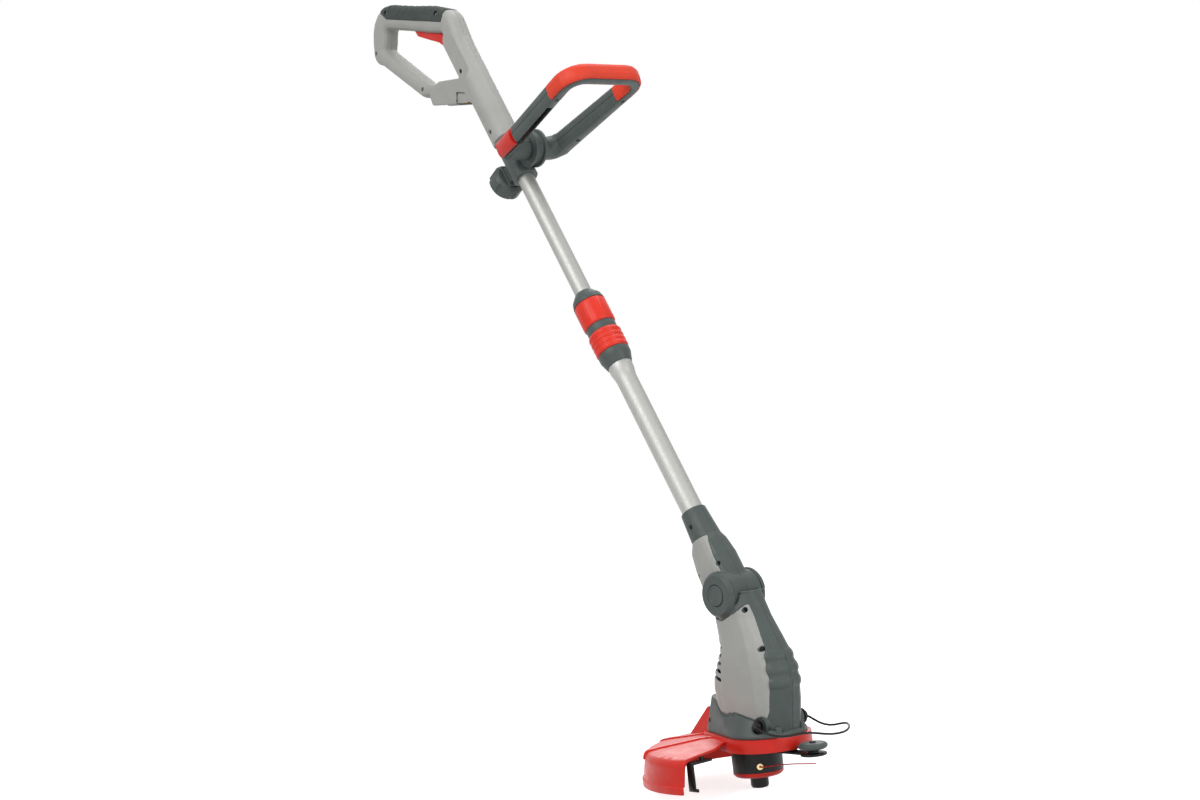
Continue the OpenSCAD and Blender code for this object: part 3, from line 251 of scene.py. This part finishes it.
# Casing of the rear handle
rearCasing = {
    "voxel": 1.1, "smoothing": 4,
    "screws": [(-101, 1128.5, 12.2), (0.5, 1033, 12.2), (-164, 1099, 12.2), (-101.5, 968, 12.2),
               (-6, 920, 12), (-3, 797, 18.2)],
    "mouth": 3.7,
    "flat": 17,  # the casing's cheeks are flat this far from its middle, with a step to the round barrel
    "cheek": [(23, 1030), (23, 994), (20.9, 983), (19.4, 939), (18, 909), (0.3, 899), (-7.2, 883),
              (-7.5, 861), (-7.5, 770), (-40, 770), (-40, 1030)],
    "cheekOut": 40,
    "cheekWall": [(-13.9, 779), (-7.5, 779), (-7.5, 861), (-7.2, 883), (0.3, 899), (13.9, 907), (13.9, 978),
                  (9.8, 987.8), (0, 991.5), (-9.8, 987.8), (-13.9, 978)],
    "cheekStep": [(-7.2, 883), (0.3, 899), (8.5, 903.6), (9.2, 901.2), (1.8, 896.8), (-5, 882)],
    "wallFoot": 14.2,  # the wall behind the cheek starts this far from the middle
    "wallTop": 17.5,
    "stepTop": 19.8,  # the step's wall reaches into the barrel's wall
    "bay": [(-35, 903.5), (-19.5, 889), (-18.5, 871), (-46, 891.5)],  # wall at the back of the dock's notch
    "bayDepth": (12.4, 14), "bayEdge": 0.4,
}


def buildRearCasing():
    s = rearCasing
    bayIn, bayOut = s["bayDepth"]
    for side, name in ((-1, "Right"), (1, "Left")):
        cuts = [prism("cheek", s["cheek"], side * s["flat"], side * s["cheekOut"], onShaft)]
        if name == "Right":
            cuts += screwMouths(s["screws"], onShaft, s["mouth"])
        wall = prism("cheekWall", s["cheekWall"], side * s["wallFoot"], side * s["wallTop"], onShaft)
        step = prism("cheekStep", s["cheekStep"], side * s["wallFoot"], side * s["stepTop"], onShaft)
        skinOf("rear_shell_" + name.lower(), "rearCasing" + name, s, cuts, [wall, step])
        bay = prism("batteryBay" + name, s["bay"], side * bayIn, side * bayOut, onShaft)
        addExtra(roundEdges(bay, s["bayEdge"]), "handle", "rear_casing")


buildRearCasing()
print("rear casing built")

# Rubber pad over the top of the rear handle's loop, with finger grooves across it
softGrip = {
    "voxel": 0.8, "smoothing": 5,
    "axis": 720.3, "halfHeight": 20.1, "halfWidth": 17.8,  # the bar that it covers, seen along the bar
    "first": -862, "pitch": 17, "grooves": 9, "depth": 3,  # grooves along the bar
    "foot": 3, "fade": 8,  # grooves start this far above the bar's axis and are full depth this much higher
    "corner": 3, "skin": 0.8,  # the section's squareness, and the share of it that counts as its outside
    "narrow": 1.3,
}


# Rounded swells between narrow grooves over the pad's outer face
def scalloped(p):
    s = softGrip
    place = p * mm - pivot
    x, z = place.dot(shaftFront) / mm, place.dot(shaftUp) / mm
    rise, along = (x + z) / math.sqrt(2) - s["axis"], (x - z) / math.sqrt(2) - s["first"]
    if rise < s["foot"] or not 0 < along < s["pitch"] * (s["grooves"] - 1):
        return Vector((0, 0, 0))
    reach = (abs(p.y) / s["halfWidth"]) ** s["corner"] + (rise / s["halfHeight"]) ** s["corner"]
    if reach <= s["skin"]:
        return Vector((0, 0, 0))
    groove = (1 - abs(math.sin(math.pi * along / s["pitch"]))) ** s["narrow"]
    depth = s["depth"] * groove * min(1, (rise - s["foot"]) / s["fade"])
    outward = (shaftFront + shaftUp) * (rise / math.sqrt(2)) + Vector((0, p.y, 0))
    return -outward.normalized() * depth


padMouths = screwMouths(rearCasing["screws"][:2], onShaft, rearCasing["mouth"])
skinOf("soft_grip", "softGrip", softGrip, padMouths, shape=scalloped)
print("soft grip built")

# Front handle: two half shells and the red cover over its bow
frontHandle = {
    "voxel": 0.95, "smoothing": 6,
    "channel": [(30, -43), (30, -53), (132, -61.5), (132, -51.5)],  # x, y along the near arm
    "channelFoot": -30, "channelFloor": -5,  # cut up into the arm's underside
}


def buildFrontHandle():
    s = frontHandle
    # The outline lies along the arm, and is pushed up across it
    channel = prism("channel", s["channel"], s["channelFoot"], s["channelFloor"],
                    lambda x, z, y: onArm(x, y, z))
    skinOf("loop_shell_upper", "frontHandleUpper", s)
    skinOf("loop_shell_lower", "frontHandleLower", s, [channel])
    skinOf("grip_cover", "gripCover", s)


buildFrontHandle()
print("front handle built")

# Bracket that carries the shaft on the head's joint
bracket = {
    "voxel": 0.95, "smoothing": 6,
    "screws": [(18, 37, 22.5), (-25, 42, 22), (0, 104, 17)],
    "mouth": 4.3,
}


def buildBracket():
    s = bracket
    for side in ("right", "left"):
        for kind in ("shell", "panel"):
            cuts = screwMouths(s["screws"], onShaft, s["mouth"]) if side == "right" else []
            skinOf(f"bracket_{kind}_{side}", f"bracket{kind.title()}{side.title()}", s, cuts)


buildBracket()
print("bracket built")

# Motor casing with its light side panels, and the collar round its foot
motorCasing = {
    "voxel": 1.0, "smoothing": 5,
    "screws": [(30, 238, 23), (57.5, 188.4, 26)],
    "mouth": 4.6,
    # Height and distance to the front of the line ahead of which the sides turn in
    "crease": [(60, 44), (100, 50), (150, 47), (190, 38), (238, 20), (260, 10)],
    "fall": 0.14, "fallOver": 20,
    "creaseStart": 20, "seam": 5, "seamFade": 25,  # the turn grows up from the foot, and out from the seam
    "well": (14.6, 27.9), "wellSides": 64,  # room for the round button: radius, where it starts
    "bossCut": (1, 2),  # bosses are cut off this far above their caps' foot, by a tool this much wider
}


# The sides turn in ahead of the crease
def creased(p):
    s = motorCasing
    crease = s["crease"]
    for (z0, x0), (z1, x1) in zip(crease, crease[1:]):
        past = p.x - (x0 + (x1 - x0) * (p.z - z0) / (z1 - z0))
        if not z0 <= p.z < z1 or past <= 0 or abs(p.y) <= s["seam"]:
            continue
        low = min(1, (p.z - z0) / s["creaseStart"]) if z0 == crease[0][0] else 1
        turn = s["fall"] * min(past, s["fallOver"]) * low
        return Vector((0, -math.copysign(turn, p.y), 0)) * min(1, abs(p.y) / s["seamFade"])
    return Vector((0, 0, 0))


smoothAngle = 35  # edges of the turned pieces that turn by more stay sharp

# Screw posts on the collar's front, with rounded tops
frontPost = {
    "at": (69.5, 20.5, 74), "height": 14, "radius": 4.6, "sides": 32,
    "foot": (0.6, 1.5),  # how far it spreads, and over what height
    "round": 3, "step": 15,  # the top's rounding, in steps of so many degrees
}


def buildFrontPost(side, name):
    s = frontPost
    x, y, z = s["at"]
    spread, spreadHeight = s["foot"]
    shoulder = s["height"] - s["round"]
    profile = [(0, s["radius"] + spread), (spreadHeight, s["radius"]), (shoulder, s["radius"])]
    for degrees in range(s["step"], 90 + 1, s["step"]):
        a = math.radians(degrees)
        profile.append((shoulder + s["round"] * math.sin(a), s["radius"] - s["round"] * (1 - math.cos(a))))
    post = turned("frontPost" + name, onHead(x, side * y, z), Vector((0, 0, 1)), profile, s["sides"])
    shadeSmooth(post, smoothAngle)
    addExtra(post, "head", "dark_casing")


# Black cap over each boss of the wire guard
wireCap = {"at": (53, 35.5, 91), "radius": 10.3, "length": 3.75, "rims": (0.4, 0.6), "sides": 48}


def buildWireCap(side, name):
    s = wireCap
    x, y, z = s["at"]
    inner, outer = s["rims"]
    profile = [(0, s["radius"] - inner), (inner, s["radius"]), (s["length"] - outer, s["radius"]),
               (s["length"], s["radius"] - outer)]
    cap = turned("wireBoss" + name, onHead(x, side * y, z), Vector((0, side, 0)), profile, s["sides"])
    shadeSmooth(cap, smoothAngle)
    addExtra(cap, "head", "black_plastic")


# What is cut off the casing's boss to make room for the cap
def bossTool(side):
    x, y, z = wireCap["at"]
    above, wider = motorCasing["bossCut"]
    radius = wireCap["radius"] + wider
    return rod("boss", onHead(x, side * (y + above), z), onHead(x, side * outside, z), radius, mouthSides)


def buildMotorCasing():
    s = motorCasing
    wellRadius, wellFloor = s["well"]
    well = rod("buttonWell", onShaft(0, -outside, 0), onShaft(0, -wellFloor, 0), wellRadius, s["wellSides"])
    rightCuts = screwMouths(s["screws"], onHead, s["mouth"]) + [bossTool(-1), well]
    skinOf("motor_shell_right", "motorCasingRight", s, rightCuts, shape=creased)
    skinOf("motor_shell_left", "motorCasingLeft", s, [bossTool(1)], shape=creased)
    for side in ("right", "left"):
        cuts = screwMouths(s["screws"], onHead, s["mouth"]) if side == "right" else []
        skinOf("side_panel_" + side, "sidePanel" + side.title(), s, cuts, shape=creased)
    skinOf("base_collar", "baseCollar", s)
    for side, name in ((-1, "Right"), (1, "Left")):
        buildFrontPost(side, name)
        buildWireCap(side, name)


buildMotorCasing()
print("motor casing built")

# Red guard behind the cutting head
guard = {"edge": 1.0, "angle": 30, "segments": 3}
dress(roundEdges(fromNode("guard", "redGuard"), guard["edge"], guard["angle"], guard["segments"]), "guard")
print("guard built")

# Lower tube, its end spread where the collar grips it
lowerTube = {
    "start": 62, "length": 413, "radius": 15, "wall": 1.5, "sides": 96, "smooth": 30,
    "spread": (282, 302, 308),  # how far up the tube it begins, is full and ends
    "spreadRadius": 17.6, "spreadSteps": 12,
    "endEdge": 0.5, "spreadEdge": 0.3,
    "boreOver": 5,  # the bore's tool runs past both ends
}


def buildLowerTube():
    s = lowerTube
    radius, edge, spreadEdge = s["radius"], s["endEdge"], s["spreadEdge"]
    first, full, last = s["spread"]
    profile = [(0, radius - edge), (edge, radius)]
    for k in range(s["spreadSteps"] + 1):
        t = k / s["spreadSteps"]
        gain = (s["spreadRadius"] - radius) * t * t * (3 - 2 * t)
        profile.append((first + (full - first) * t, radius + gain))
    profile += [(last - spreadEdge, s["spreadRadius"]), (last, s["spreadRadius"] - spreadEdge)]
    profile += [(last, radius), (s["length"], radius)]
    tube = turned("lowerTube", onShaft(0, 0, s["start"]), shaftUp, profile, s["sides"])
    low, high = s["start"] - s["boreOver"], s["start"] + s["length"] + s["boreOver"]
    carve(tube, rod("bore", onShaft(0, 0, low), onShaft(0, 0, high), radius - s["wall"], s["sides"]))
    shadeSmooth(tube, s["smooth"])
    dress(tube, "lower_tube")


buildLowerTube()
print("lower tube built")

# Machined and small moulded pieces keep the solid's shape with their edges rounded: node, edge width
smallPieces = {
    "trigger": 0.8, "handle_clamp": 0.8, "clamp_knob": 0.8, "hinge_button": 0.8,
    "collar_body": 0.6, "collar_base": 0.6, "lock_ring": 0.6, "release_sleeve": 0.6,
    "upper_tube": 0.2, "tilt_button": 0.4, "line_cutter": 0.3, "wheel_bracket": 0.4,
    "guide_wheel": 0.5, "spool_housing": 0.5, "spool_cover": 0.5, "bump_knob": 0.5, "bump_tip": 0.3,
    "eyelets": 0.2, "hinge_bolt": 0.3, "clamp_shoe": 0.3, "tube_bush": 0.3, "casing_screws": 0.2,
    "loop_screws": 0.2, "bracket_screws": 0.2, "head_screws": 0.2, "wire_guard": 0.2, "cutting_line": 0.05,
    "battery_contacts": 0.2, "reel": 0.4, "clamp_bolt": 0.2,
}
ownNames = {"trigger": "redTrigger", "reel": "lineReel", "eyelets": "lineEyelets"}


def camelName(node):
    first, *rest = node.split("_")
    return ownNames.get(node, first + "".join(word.title() for word in rest))


for node, width in smallPieces.items():
    dress(roundEdges(fromNode(node, camelName(node)), width), node)
print("small pieces built")


# Materials
def linear(code):
    values = [int(code[i:i + 2], 16) / 255 for i in (0, 2, 4)]
    return (*[v / 12.92 if v <= 0.04045 else ((v + 0.055) / 1.055) ** 2.4 for v in values], 1)


# Adds a node with its settings, and links other nodes' outputs to its inputs
def addNode(tree, kind, settings=(), links=()):
    node = tree.nodes.new(kind)
    for name, value in dict(settings).items():
        if name in node.inputs:
            node.inputs[name].default_value = value
        else:
            setattr(node, name, value)
    for name, output in dict(links).items():
        tree.links.new(output, node.inputs[name])
    return node


def newMaterial(name):
    material = bpy.data.materials.new(name)
    material.use_nodes = True
    tree = material.node_tree
    tree.nodes.clear()
    surface = addNode(tree, "ShaderNodeBsdfPrincipled")
    addNode(tree, "ShaderNodeOutputMaterial", {}, {"Surface": surface.outputs[0]})
    places = addNode(tree, "ShaderNodeTexCoord").outputs["Object"]
    return material, tree, surface, places


# Pattern of noise whose blobs are so many millimetres across, turned and stretched by along
def noise(tree, places, size, detail, along=None):
    if along:
        rotation, scale = along
        places = addNode(tree, "ShaderNodeMapping", {"Rotation": rotation, "Scale": scale},
                         {"Vector": places}).outputs["Vector"]
    return addNode(tree, "ShaderNodeTexNoise", {"Scale": 1000 / size, "Detail": detail, "Roughness": 0.55},
                   {"Vector": places}).outputs["Fac"]


# Value from low to high as the pattern goes from dark to light
def spread(tree, pattern, low, high):
    ends = {"From Min": 0.35, "From Max": 0.65, "To Min": low, "To Max": high}
    return addNode(tree, "ShaderNodeMapRange", ends, {"Value": pattern}).outputs["Result"]


# Gives a surface a colour that the pattern makes darker and lighter by the given shares
def colourBy(tree, surface, code, pattern, darker, lighter):
    mix = addNode(tree, "ShaderNodeMix", {"data_type": "RGBA"})
    base = linear(code)[:3]
    for i, share in ((6, darker), (7, lighter)):
        mix.inputs[i].default_value = (*[min(1, c * share) for c in base], 1)
    tree.links.new(spread(tree, pattern, 0, 1), mix.inputs[0])
    tree.links.new(mix.outputs[2], surface.inputs["Base Color"])


# Gives a surface a roughness that the pattern makes less and more
def sheenBy(tree, surface, pattern, roughness, less, more):
    tree.links.new(spread(tree, pattern, roughness - less, roughness + more), surface.inputs["Roughness"])


# Gives a surface a relief so many millimetres deep
def bumpBy(tree, surface, pattern, depth):
    bump = addNode(tree, "ShaderNodeBump", {"Strength": 1, "Distance": depth * mm}, {"Height": pattern})
    tree.links.new(bump.outputs[0], surface.inputs["Normal"])


# What shows on every piece: its colour's clouds and its sheen's patches in millimetres, how much shinier
# and duller the patches are, and how much darker and lighter the lines on metal are
wear = {
    "cloud": 38, "patch": 14, "patchSheen": (0.05, 0.06),
    "lineSheen": (0.06, 0.08), "lines": (0.93, 1.05),
}


# Plastic or rubber: a fine mould texture, a slightly uneven sheen and cloudy colour
def moulded(name, code, roughness, grain, depth, cloud, specular=0.3):
    material, tree, surface, places = newMaterial(name)
    colourBy(tree, surface, code, noise(tree, places, wear["cloud"], 3), 1 - cloud, 1 + cloud)
    sheenBy(tree, surface, noise(tree, places, wear["patch"], 4), roughness, *wear["patchSheen"])
    surface.inputs["Specular IOR Level"].default_value = specular
    bumpBy(tree, surface, noise(tree, places, grain, 2), depth)
    return material


# Metal drawn or turned: fine lines that follow the axis given by along
def drawn(name, code, roughness, along, grain, depth):
    material, tree, surface, places = newMaterial(name)
    surface.inputs["Metallic"].default_value = 1
    lines = noise(tree, places, grain, 3, along)
    colourBy(tree, surface, code, lines, *wear["lines"])
    sheenBy(tree, surface, lines, roughness, *wear["lineSheen"])
    bumpBy(tree, surface, lines, depth)
    return material


lean = math.atan2(-shaftUp.x, shaftUp.z)
alongShaft = ((0, lean, 0), (1, 1, 0.02))
allRound = ((0, 0, 0), (1, 1, 1))
finishes = {
    # ABS with a fine spark-eroded texture from the mould, which keeps its highlights broad and soft
    "rear_casing": moulded("lightGreyAbs", "A5A6A2", 0.5, 0.9, 0.05, 0.03),
    # The same ABS in dark grey: its sheen shows more than on the light one
    "dark_casing": moulded("darkGreyAbs", "4B5452", 0.48, 0.9, 0.06, 0.06),
    # Thermoplastic rubber moulded over the grip: dull, with a dusty sheen
    "grip_rubber": moulded("softRubber", "444A48", 0.72, 0.7, 0.06, 0.07, 0.2),
    # Glass-filled nylon: smooth and dark, with a low gloss
    "black_plastic": moulded("blackNylon", "121314", 0.44, 0.8, 0.03, 0.1, 0.25),
    # High-impact polypropylene in red, polished in its mould, so lamps show as clear streaks
    "red_plastic": moulded("redPolypropylene", "D2281D", 0.36, 1.6, 0.03, 0.04),
    # ABS in the same red, a little brighter and duller
    "collar_red": moulded("redAbs", "E23422", 0.42, 1.2, 0.03, 0.04),
    # Softer red skin over the front grip, a little duller than the trigger
    "grip_red": moulded("redSoftPlastic", "E0432C", 0.52, 0.8, 0.05, 0.04),
    # Anodised aluminium, drawn through a die: fine lines run along the tube
    "tube_metal": drawn("anodisedAluminium", "A6A6A3", 0.56, alongShaft, 1.4, 0.003),
    # Zinc-plated steel, bright with faint clouds of the plating
    "bright_steel": drawn("zincPlatedSteel", "C4C4C2", 0.28, allRound, 3, 0.01),
    # Steel under a black powder coat, whose fine orange peel breaks up its highlights
    "black_steel": moulded("blackPowderCoat", "0D0D0D", 0.36, 1.1, 0.04, 0.1, 0.25),
    # Rolled brass of the battery contacts, hidden in the dock
    "contact_brass": drawn("rolledBrass", "C9A24A", 0.3, allRound, 2, 0.01),
    # Turned brass of the eyelets, polished by the line that runs through
    "eyelet_brass": drawn("turnedBrass", "D8C391", 0.25, allRound, 1.5, 0.01),
    # Plain steel of the motor's can, which nobody sees
    "motor_steel": drawn("plainSteel", "8E9092", 0.4, allRound, 2, 0.01),
    # Extruded nylon line: smooth, and red light glows through its edges
    "line_nylon": moulded("redNylonLine", "D8241C", 0.3, 1.5, 0.01, 0.02),
}
lineSurface = finishes["line_nylon"].node_tree.nodes["Principled BSDF"]
lineSurface.inputs["Subsurface Weight"].default_value = 0.2
lineSurface.inputs["Subsurface Radius"].default_value = (0.002, 0.0005, 0.0005)


def coat(piece, slotName):
    piece.data.materials.clear()
    piece.data.materials.append(finishes[slotName])


for node, piece in frame["nodes"].items():
    if node not in dressed:
        for place in piece.material_slots:
            place.material = finishes[slotOf[node]]
for node, piece in dressed.items():
    coat(piece, slotOf[node])
for piece, slotName in extras.items():
    coat(piece, slotName)
print("materials set")

# Camera, floor and light
view = {"at": (1.9198, -1.7260, 0.4975), "turn": (90.7512, 6.3372, 51.5428), "lens": 58.5, "sensor": 36}


def buildCamera():
    camera = bpy.data.cameras.new("camera")
    camera.lens, camera.sensor_width = view["lens"], view["sensor"]
    holder = bpy.data.objects.new("camera", camera)
    holder.location = view["at"]
    holder.rotation_euler = [math.radians(a) for a in view["turn"]]
    bpy.context.collection.objects.link(holder)
    bpy.context.scene.camera = holder


# Square lamps: name, place, what they point at, size in metres, power in watts
softboxes = [
    ("keySoftbox", (0.3, -2.6, 2.6), (-0.2, 0, 0.6), 1.8, 68),
    ("fillSoftbox", (2.6, 0.2, 1.2), (-0.2, 0, 0.5), 1.6, 32),
    ("topSoftbox", (-0.4, 0.8, 3.0), (-0.2, 0, 0.5), 1.6, 24),
    ("backSoftbox", (-2.4, 1.9, 1.7), (-0.2, 0, 0.5), 1.6, 20),
]


def addSoftbox(name, at, aim, size, power):
    lamp = bpy.data.lights.new(name, "AREA")
    lamp.shape, lamp.size, lamp.energy = "SQUARE", size, power
    holder = bpy.data.objects.new(name, lamp)
    holder.location = at
    holder.rotation_euler = (Vector(aim) - Vector(at)).to_track_quat("-Z", "Y").to_euler()
    bpy.context.collection.objects.link(holder)


buildCamera()
for softbox in softboxes:
    addSoftbox(*softbox)
bpy.context.scene.view_settings.view_transform = "Standard"

white = (1, 1, 1, 1)
backdrop = {
    "ambient": 0.26,  # how bright the backdrop is as a light, when 1 is how bright it looks
    "floorSize": 12, "floorGrey": 0.5,
    "floorPaper": 0.8, "floorGlow": 0.82,  # brings the floor that is seen up to the backdrop's white
}


# 1 for the rays named, which see a thing rather than being lit by it
def seenBy(tree, *rays):
    path = addNode(tree, "ShaderNodeLightPath")
    seen = path.outputs[rays[0]]
    for ray in rays[1:]:
        either = addNode(tree, "ShaderNodeMath", {"operation": "MAXIMUM"})
        tree.links.new(seen, either.inputs[0])
        tree.links.new(path.outputs[ray], either.inputs[1])
        seen = either.outputs[0]
    return seen


def buildBackdrop():
    s = backdrop
    world = bpy.data.worlds.new("studio")
    bpy.context.scene.world = world
    world.use_nodes = True
    tree = world.node_tree
    tree.nodes.clear()
    seen = seenBy(tree, "Is Camera Ray", "Is Glossy Ray", "Is Transmission Ray")
    strength = addNode(tree, "ShaderNodeMapRange", {"To Min": s["ambient"], "To Max": 1}, {"Value": seen})
    sky = addNode(tree, "ShaderNodeBackground", {"Color": white}, {"Strength": strength.outputs["Result"]})
    addNode(tree, "ShaderNodeOutputWorld", {}, {"Surface": sky.outputs[0]})


def buildFloor():
    s = backdrop
    bpy.ops.object.select_all(action="DESELECT")
    bpy.ops.mesh.primitive_plane_add(size=s["floorSize"], location=(0, 0, 0))
    floor = bpy.context.object
    floor.name = "floor"
    paper = bpy.data.materials.new("paleFloor")
    paper.use_nodes = True
    tree = paper.node_tree
    tree.nodes.clear()
    matt = addNode(tree, "ShaderNodeBsdfDiffuse", {"Color": (*[s["floorGrey"]] * 3, 1)})
    pale = addNode(tree, "ShaderNodeBsdfDiffuse", {"Color": (*[s["floorPaper"]] * 3, 1)})
    glow = addNode(tree, "ShaderNodeEmission", {"Color": white, "Strength": s["floorGlow"]})
    lit = addNode(tree, "ShaderNodeAddShader")
    tree.links.new(pale.outputs[0], lit.inputs[0])
    tree.links.new(glow.outputs[0], lit.inputs[1])
    choice = addNode(tree, "ShaderNodeMixShader")
    tree.links.new(seenBy(tree, "Is Camera Ray", "Is Glossy Ray"), choice.inputs[0])
    tree.links.new(matt.outputs[0], choice.inputs[1])
    tree.links.new(lit.outputs[0], choice.inputs[2])
    addNode(tree, "ShaderNodeOutputMaterial", {}, {"Surface": choice.outputs[0]})
    floor.data.materials.append(paper)


buildBackdrop()
buildFloor()

print("scene ready")
